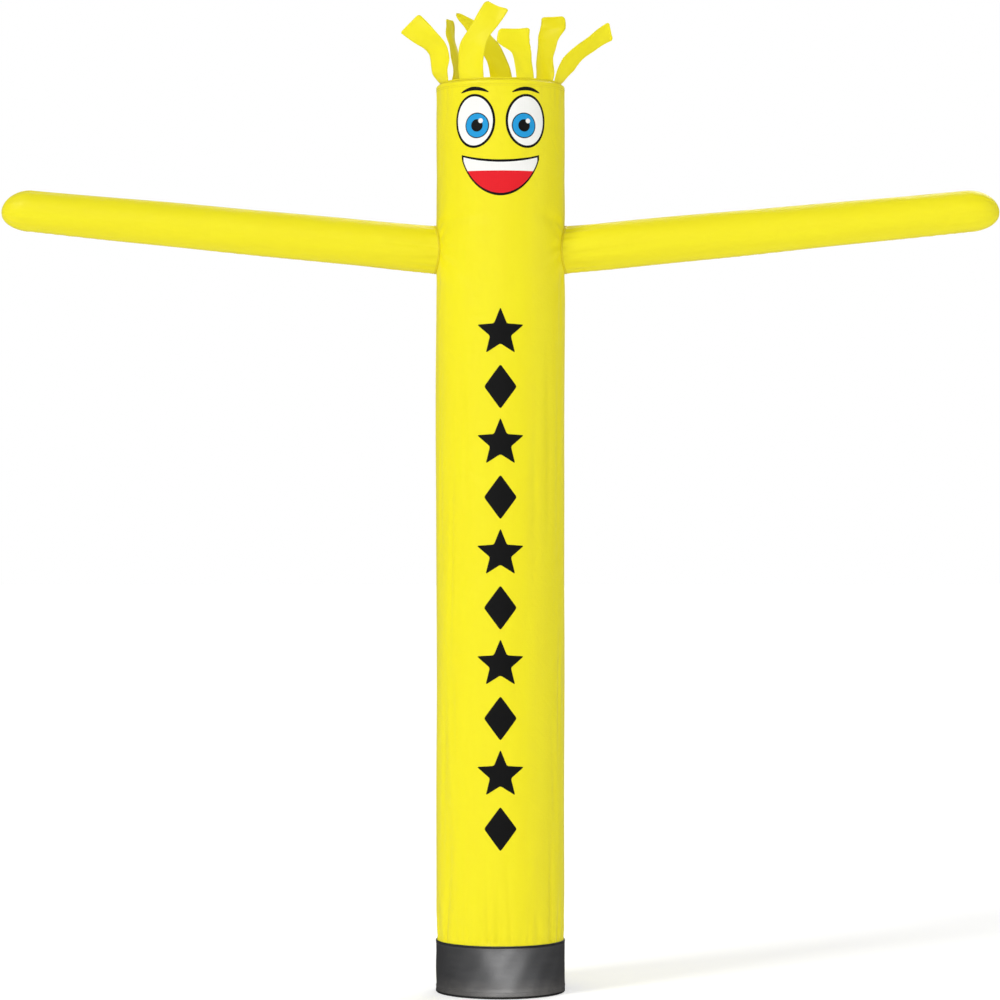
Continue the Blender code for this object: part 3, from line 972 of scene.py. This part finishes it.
def streamer_sheet(number, middles, halves, run):
    """The streamer's points. Its root bends round the crown, its free part is cupped and flutters,
    and the corners of its tip are cut round."""
    normal = unit(np.cross(halves, unit(np.gradient(middles, axis=0))))
    outwards = np.sign(np.sum(normal * middles * LEVEL, axis=1, keepdims=True))
    normal = normal * np.where(outwards == 0, 1.0, outwards)
    width = np.linalg.norm(halves, axis=1)[:, None]
    near_tip = np.clip(TIP_CORNER - (run[-1] - run), 0.0, TIP_CORNER)[:, None]
    cut_in = TIP_CORNER - np.sqrt(TIP_CORNER ** 2 - near_tip ** 2)
    halves = halves * (1.0 - np.minimum(cut_in / width, 0.6))
    run, shares = run[:, None], HALF_SHARES[None, :]
    cup = -0.10 * width * (1.0 - shares ** 2)
    arc = HAIR_RADIUS - np.sqrt(HAIR_RADIUS ** 2 - (width * shares) ** 2)
    flutter = 0.0022 * np.sin(run * (44 + 5 * number) + number) * np.abs(shares) ** 3
    flutter += 0.0018 * np.sin(run * 31 + 3 * shares + 2 * number)
    relief = mix(-arc, cup + flutter, smooth(run / 0.05))
    return middles[:, None] + halves[:, None] * shares[..., None] + normal[:, None] * relief[..., None]


def make_hair():
    """All the streamers and the strip that they are cut from, as one piece of cloth."""
    stand = crown_height(HAIR_RADIUS) + 0.0002
    points, faces, uvs = [], [], []
    start, flat_start, area = 0, 0.0, 0.0
    for number, (root_angle, root_width, places) in enumerate(STREAMERS):
        middles, halves = streamer_path(root_angle, root_width, stand - HEAD_TOP, places)
        run = run_along(middles)
        sheet = streamer_sheet(number, middles, halves, run)
        quads, corner_places = grid_faces(*sheet.shape[:2], False, start=start)
        flat = flat_places(corner_places, flat_start + HALF_SHARES * root_width * 0.5, run)
        facing = np.cross(sheet[1, 1] - sheet[1, 0], sheet[2, 0] - sheet[1, 0])
        if np.dot(facing, middles[1] * LEVEL) < 0:
            quads, flat = quads[:, ::-1], flat[:, ::-1]
        points.append(sheet.reshape(-1, 3))
        faces += quads.tolist()
        uvs.append(flat.reshape(-1, 2))
        width = np.linalg.norm(halves, axis=1)
        area += float(np.sum(np.diff(run) * (width[1:] + width[:-1])))
        start += len(points[-1])
        flat_start += root_width + 0.02
    turns = circle(180)
    levels = np.array([stand, stand + 0.5 * HAIR_STRIP, stand + HAIR_STRIP])
    wave = 0.0003 * np.sin(23 * turns)
    rooted = turned_point(HAIR_RADIUS + 0.0013 + wave[None, :], turns[None, :], levels[:, None])
    quads, corner_places = grid_faces(len(levels), len(turns), True, start=start)
    points.append(rooted.reshape(-1, 3))
    faces += quads.tolist()
    uvs.append((corner_places * np.array([HAIR_RADIUS * turns[1], 0.5 * HAIR_STRIP])).reshape(-1, 2))
    piece = add_piece("hair_cloth", np.concatenate(points), faces, np.concatenate(uvs), yellow_cloth, 0.0010)
    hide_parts("hair")
    cloth = Cloth(rooted[:2], turns, levels[:2])
    around = np.linspace(0.0, 2 * math.pi, 300)
    sewn = stitches("hair_stitches", cloth, around, stand + 0.003, yellow_thread)
    return piece, [sewn], area + 2 * math.pi * HAIR_RADIUS * HAIR_STRIP


hair_piece, hair_trim, hair_area = make_hair()


# The print

INK_LIFT = 0.00025
INK_DEPTH = 0.0003
LAYER = 0.0002
RIM = 0.0085
RIM_ANGLE = math.radians(40)
MOTIF_STEP = 0.009
FACE_STEP = 0.0045
EYE_OUT, EYE_LEVEL = 0.094, 3.058
EYE_HALF_WIDTH, EYE_HALF_HEIGHT = 0.076, 0.094
BROW_LEVEL, BROW_HALF, BROW_ARCH, BROW_THICK = 3.158, 0.052, 0.013, 0.0065
MOUTH_HALF, MOUTH_TOP, MOUTH_DIP, MOUTH_FOOT = 0.140, 2.934, 0.020, 2.806
TEETH = 0.030
MOTIF_TOP, MOTIF_PITCH, MOTIF_COUNT = 2.325, 0.1925, 10
STAR_RADIUS, STAR_NOTCH, STAR_DROP = 0.088, 0.44, 0.004


def oval(x, z, half_width, half_height, count=120):
    turns = circle(count)
    return np.stack([x + half_width * np.cos(turns), z + half_height * np.sin(turns)], axis=1)


def rounded(corners, soft):
    """A closed outline through straight sides whose corners are cut round."""
    corners = np.asarray(corners, float)
    outline = []
    for before, corner, after in zip(np.roll(corners, 1, axis=0), corners, np.roll(corners, -1, axis=0)):
        first, second = mix(corner, before, soft), mix(corner, after, soft)
        bend = np.linspace(0.0, 1.0, 5)[:, None]
        outline += list(first * (1 - bend) ** 2 + corner * 2 * bend * (1 - bend) + second * bend ** 2)
        side = mix(after, corner, soft) - second
        count = max(1, int(np.linalg.norm(side) / 0.006))
        outline += [second + side * k / count for k in range(1, count)]
    return np.array(outline)


def star(x, z, radius):
    corners = []
    for k in range(10):
        reach = radius if k % 2 == 0 else STAR_NOTCH * radius
        turn = math.pi * k / 5
        corners.append((x + reach * math.sin(turn), z + reach * math.cos(turn)))
    return rounded(corners, 0.12)


def diamond(x, z, half_width, half_height):
    corners = [(x + half_width, z), (x, z + half_height), (x - half_width, z), (x, z - half_height)]
    return rounded(corners, 0.08)


def inside(outline, points):
    """Which points an outline holds."""
    held = np.zeros(len(points), bool)
    for (x1, z1), (x2, z2) in zip(outline, np.roll(outline, -1, axis=0)):
        crosses = (z1 > points[:, 1]) != (z2 > points[:, 1])
        if z1 != z2:
            held ^= crosses & (points[:, 0] < (x2 - x1) * (points[:, 1] - z1) / (z2 - z1) + x1)
    return held


def closed_behind(faces, front, back):
    """Closes a patch: its own faces, the same faces behind them, and a rim between the two."""
    count = len(front)
    sides = {(face[k - 1], face[k]) for face in faces for k in range(len(face))}
    rim = [[b, a, a + count, b + count] for a, b in sorted(sides) if (b, a) not in sides]
    behind = [[k + count for k in reversed(face)] for face in faces]
    return np.concatenate([front, back]), faces + behind + rim


def printed(name, outline, layer, material, step=FACE_STEP):
    """A patch of ink that follows the tube's cloth. The outline is (round, height) in metres."""
    low, high = outline.min(axis=0), outline.max(axis=0)
    grid = np.stack(np.meshgrid(*(np.arange(a, b, step) for a, b in zip(low, high))), axis=-1).reshape(-1, 2)
    grid = grid[inside(outline, grid)]
    near = np.min(np.linalg.norm(grid[:, None] - outline[None], axis=2), axis=1)
    flat = np.concatenate([outline, grid[near > 0.4 * step]])
    edges = [(k, (k + 1) % len(outline)) for k in range(len(outline))]
    found = delaunay_2d_cdt([Vector(p) for p in flat.tolist()], edges, [list(range(len(outline)))], 1, 1e-7)
    flat, faces = np.array([tuple(p) for p in found[0]]), [list(f) for f in found[2]]
    front = tube.place(flat[:, 0] / TUBE_RADIUS, flat[:, 1], INK_LIFT + layer * LAYER)
    back = tube.place(flat[:, 0] / TUBE_RADIUS, flat[:, 1], -INK_DEPTH)
    a, b, c = (front[k] for k in faces[0][:3])
    if np.dot(np.cross(b - a, c - a), a * LEVEL) < 0:
        faces = [face[::-1] for face in faces]
    points, faces = closed_behind(faces, front, back)
    uvs = np.array([flat[k % len(flat)] for face in faces for k in face])
    piece = add_piece(name, points, faces, uvs, material)
    piece.data.set_sharp_from_angle(angle=RIM_ANGLE)
    return piece


def mouth(grow):
    """The smile's outline, grown by a rim."""
    half = MOUTH_HALF + grow
    x = np.linspace(-half, half, 81)
    share = 1.0 - (x / half) ** 2
    upper = MOUTH_TOP + grow - MOUTH_DIP * share
    lower = MOUTH_TOP + grow - (MOUTH_TOP - MOUTH_FOOT + 2 * grow) * share ** 0.72
    wide = upper > lower + 0.0008
    x, upper, lower = x[wide], upper[wide], lower[wide]
    return np.concatenate([np.stack([x, lower], 1), np.stack([x, upper], 1)[::-1]])


def teeth():
    """The white band along the smile's upper edge, with a straight lower side."""
    outline = mouth(0.0)
    outline[:, 1] = np.maximum(outline[:, 1], MOUTH_TOP - MOUTH_DIP - TEETH)
    return outline


def brow(x_middle):
    x = np.linspace(-BROW_HALF, BROW_HALF, 25)
    arch = BROW_LEVEL + BROW_ARCH * (1 - (x / BROW_HALF) ** 2)
    thick = BROW_THICK * np.sqrt(np.maximum(1 - (x / (BROW_HALF + 0.0005)) ** 2, 0.05))
    lower, upper = (np.stack([x_middle + x, arch + side * thick], 1) for side in (-1, 1))
    return np.concatenate([lower, upper[::-1]])


def make_eye(name, side):
    """One eye and its brow, each ink on the one before it."""
    eye = (side * EYE_OUT, EYE_LEVEL)
    iris = (eye[0] - side * 0.010, eye[1] - 0.016)
    glint = (iris[0] + 0.014, iris[1] + 0.016)
    made = []
    for layer, (part, middle, half_width, half_height, count, ink) in enumerate((
        ("rim", eye, EYE_HALF_WIDTH, EYE_HALF_HEIGHT, 120, ink_black),
        ("white", eye, EYE_HALF_WIDTH - RIM, EYE_HALF_HEIGHT - RIM, 120, ink_white),
        ("iris_rim", iris, 0.0445, 0.0445, 120, ink_black),
        ("iris", iris, 0.041, 0.041, 120, ink_blue),
        ("pupil", iris, 0.0215, 0.0215, 56, ink_black),
        ("glint", glint, 0.0085, 0.0085, 28, ink_white),
    ), start=1):
        outline = oval(*middle, half_width, half_height, count)
        made.append(printed(f"eye_{name}_{part}", outline, layer, ink))
    made.append(printed(f"brow_{name}", brow(eye[0]), 1, ink_black))
    return made


def make_print():
    made = make_eye("left", -1) + make_eye("right", 1)
    made.append(printed("mouth_rim", mouth(RIM), 1, ink_black))
    made.append(printed("mouth_red", mouth(0.0), 2, ink_red))
    made.append(printed("mouth_teeth", teeth(), 3, ink_white))
    for k in range(MOTIF_COUNT):
        z = MOTIF_TOP - k * MOTIF_PITCH
        outline = star(0.0, z - STAR_DROP, STAR_RADIUS) if k % 2 == 0 else diamond(0.0, z, 0.058, 0.078)
        made.append(printed(f"motif_{k + 1}", outline, 1, ink_black, MOTIF_STEP))
    return made


print_pieces = make_print()


# The floor, the light and the camera

CAMERA_PLACE = (-0.0015, -12.6, 1.7375)
VIEW_WIDTH = 3.5423
FLOOR_HALF = 60.0
FLOOR_LEVEL = -0.0004
WHITE = (1.0, 1.0, 1.0, 1.0)


def make_floor():
    mesh = bpy.data.meshes.new("floor")
    square = ((-1, -1), (1, -1), (1, 1), (-1, 1))
    corners = [(x * FLOOR_HALF, y * FLOOR_HALF, FLOOR_LEVEL) for x, y in square]
    mesh.from_pydata(corners, [], [(0, 1, 2, 3)])
    nodes = Nodes("pale_floor")
    nodes.shade("Base Color", (0.93, 0.93, 0.93, 1.0))
    nodes.shade("Roughness", 0.9)
    nodes.shade("Specular IOR Level", 0.0)
    nodes.shade("Emission Color", WHITE)
    nodes.shade("Emission Strength", 0.34)
    mesh.materials.append(nodes.material)
    floor = bpy.data.objects.new("floor", mesh)
    bpy.context.scene.collection.objects.link(floor)
    floor.visible_glossy = False


def make_world(shown, behind, ahead):
    """A white studio. The camera sees it even, and it lights the piece more from the front and above."""
    world = bpy.data.worlds.new("studio")
    world.use_nodes = True
    tree = world.node_tree
    tree.nodes.clear()
    output, choose, path, backdrop, room, direction, facing, strength = (
        tree.nodes.new("ShaderNode" + kind)
        for kind in (
            "OutputWorld", "MixShader", "LightPath", "Background", "Background",
            "TexCoord", "VectorMath", "MapRange",
        )
    )
    backdrop.inputs["Strength"].default_value = shown
    facing.operation = "DOT_PRODUCT"
    facing.inputs[1].default_value = (-0.18, -0.72, 0.67)
    strength.inputs["From Min"].default_value = -1.0
    strength.inputs["To Min"].default_value = behind
    strength.inputs["To Max"].default_value = ahead
    for background in (backdrop, room):
        background.inputs["Color"].default_value = WHITE
    for source, target in (
        (direction.outputs["Generated"], facing.inputs[0]),
        (facing.outputs["Value"], strength.inputs["Value"]),
        (strength.outputs["Result"], room.inputs["Strength"]),
        (path.outputs["Is Camera Ray"], choose.inputs[0]),
        (room.outputs[0], choose.inputs[1]),
        (backdrop.outputs[0], choose.inputs[2]),
        (choose.outputs[0], output.inputs["Surface"]),
    ):
        tree.links.new(source, target)
    bpy.context.scene.world = world


def make_light(name, strength, softness, azimuth, elevation, only=()):
    """A soft far light. Azimuth 0 is the camera's side, and it grows towards +X. It lights
    everything, or only the pieces that are given."""
    lamp = bpy.data.lights.new(name, "SUN")
    lamp.energy = strength
    lamp.angle = math.radians(softness)
    item = bpy.data.objects.new(name, lamp)
    a, e = math.radians(azimuth), math.radians(elevation)
    towards = Vector((math.sin(a) * math.cos(e), -math.cos(a) * math.cos(e), math.sin(e)))
    item.rotation_euler = towards.to_track_quat("Z", "Y").to_euler()
    bpy.context.scene.collection.objects.link(item)
    if only:
        lit = bpy.data.collections.new(name + "_lit")
        for piece in only:
            lit.objects.link(piece)
        item.light_linking.receiver_collection = lit


def make_camera():
    data = bpy.data.cameras.new("camera")
    data.lens = data.sensor_width * -CAMERA_PLACE[1] / VIEW_WIDTH
    data.clip_end = 200.0
    camera = bpy.data.objects.new("camera", data)
    camera.location = CAMERA_PLACE
    camera.rotation_euler = (math.radians(90), 0.0, 0.0)
    bpy.context.scene.collection.objects.link(camera)
    bpy.context.scene.camera = camera


yellow_pieces = [tube_piece, *tube_trim, *print_pieces, crown_piece, *crown_trim, hair_piece, *hair_trim]
for piece, trim in arm_pieces:
    yellow_pieces += [piece, *trim]
make_floor()
make_world(shown=1.0, behind=0.07, ahead=0.51)
make_light("key", strength=1.2, softness=14, azimuth=-46, elevation=34)
make_light("front", strength=0.3, softness=34, azimuth=-6, elevation=10)
make_light("back", strength=1.0, softness=30, azimuth=160, elevation=38)
make_light("cuff_glow", strength=17.0, softness=50, azimuth=5, elevation=8, only=[cuff_piece])
make_light("side", strength=0.45, softness=40, azimuth=72, elevation=14, only=yellow_pieces)
make_camera()
bpy.context.scene.view_settings.view_transform = "Standard"
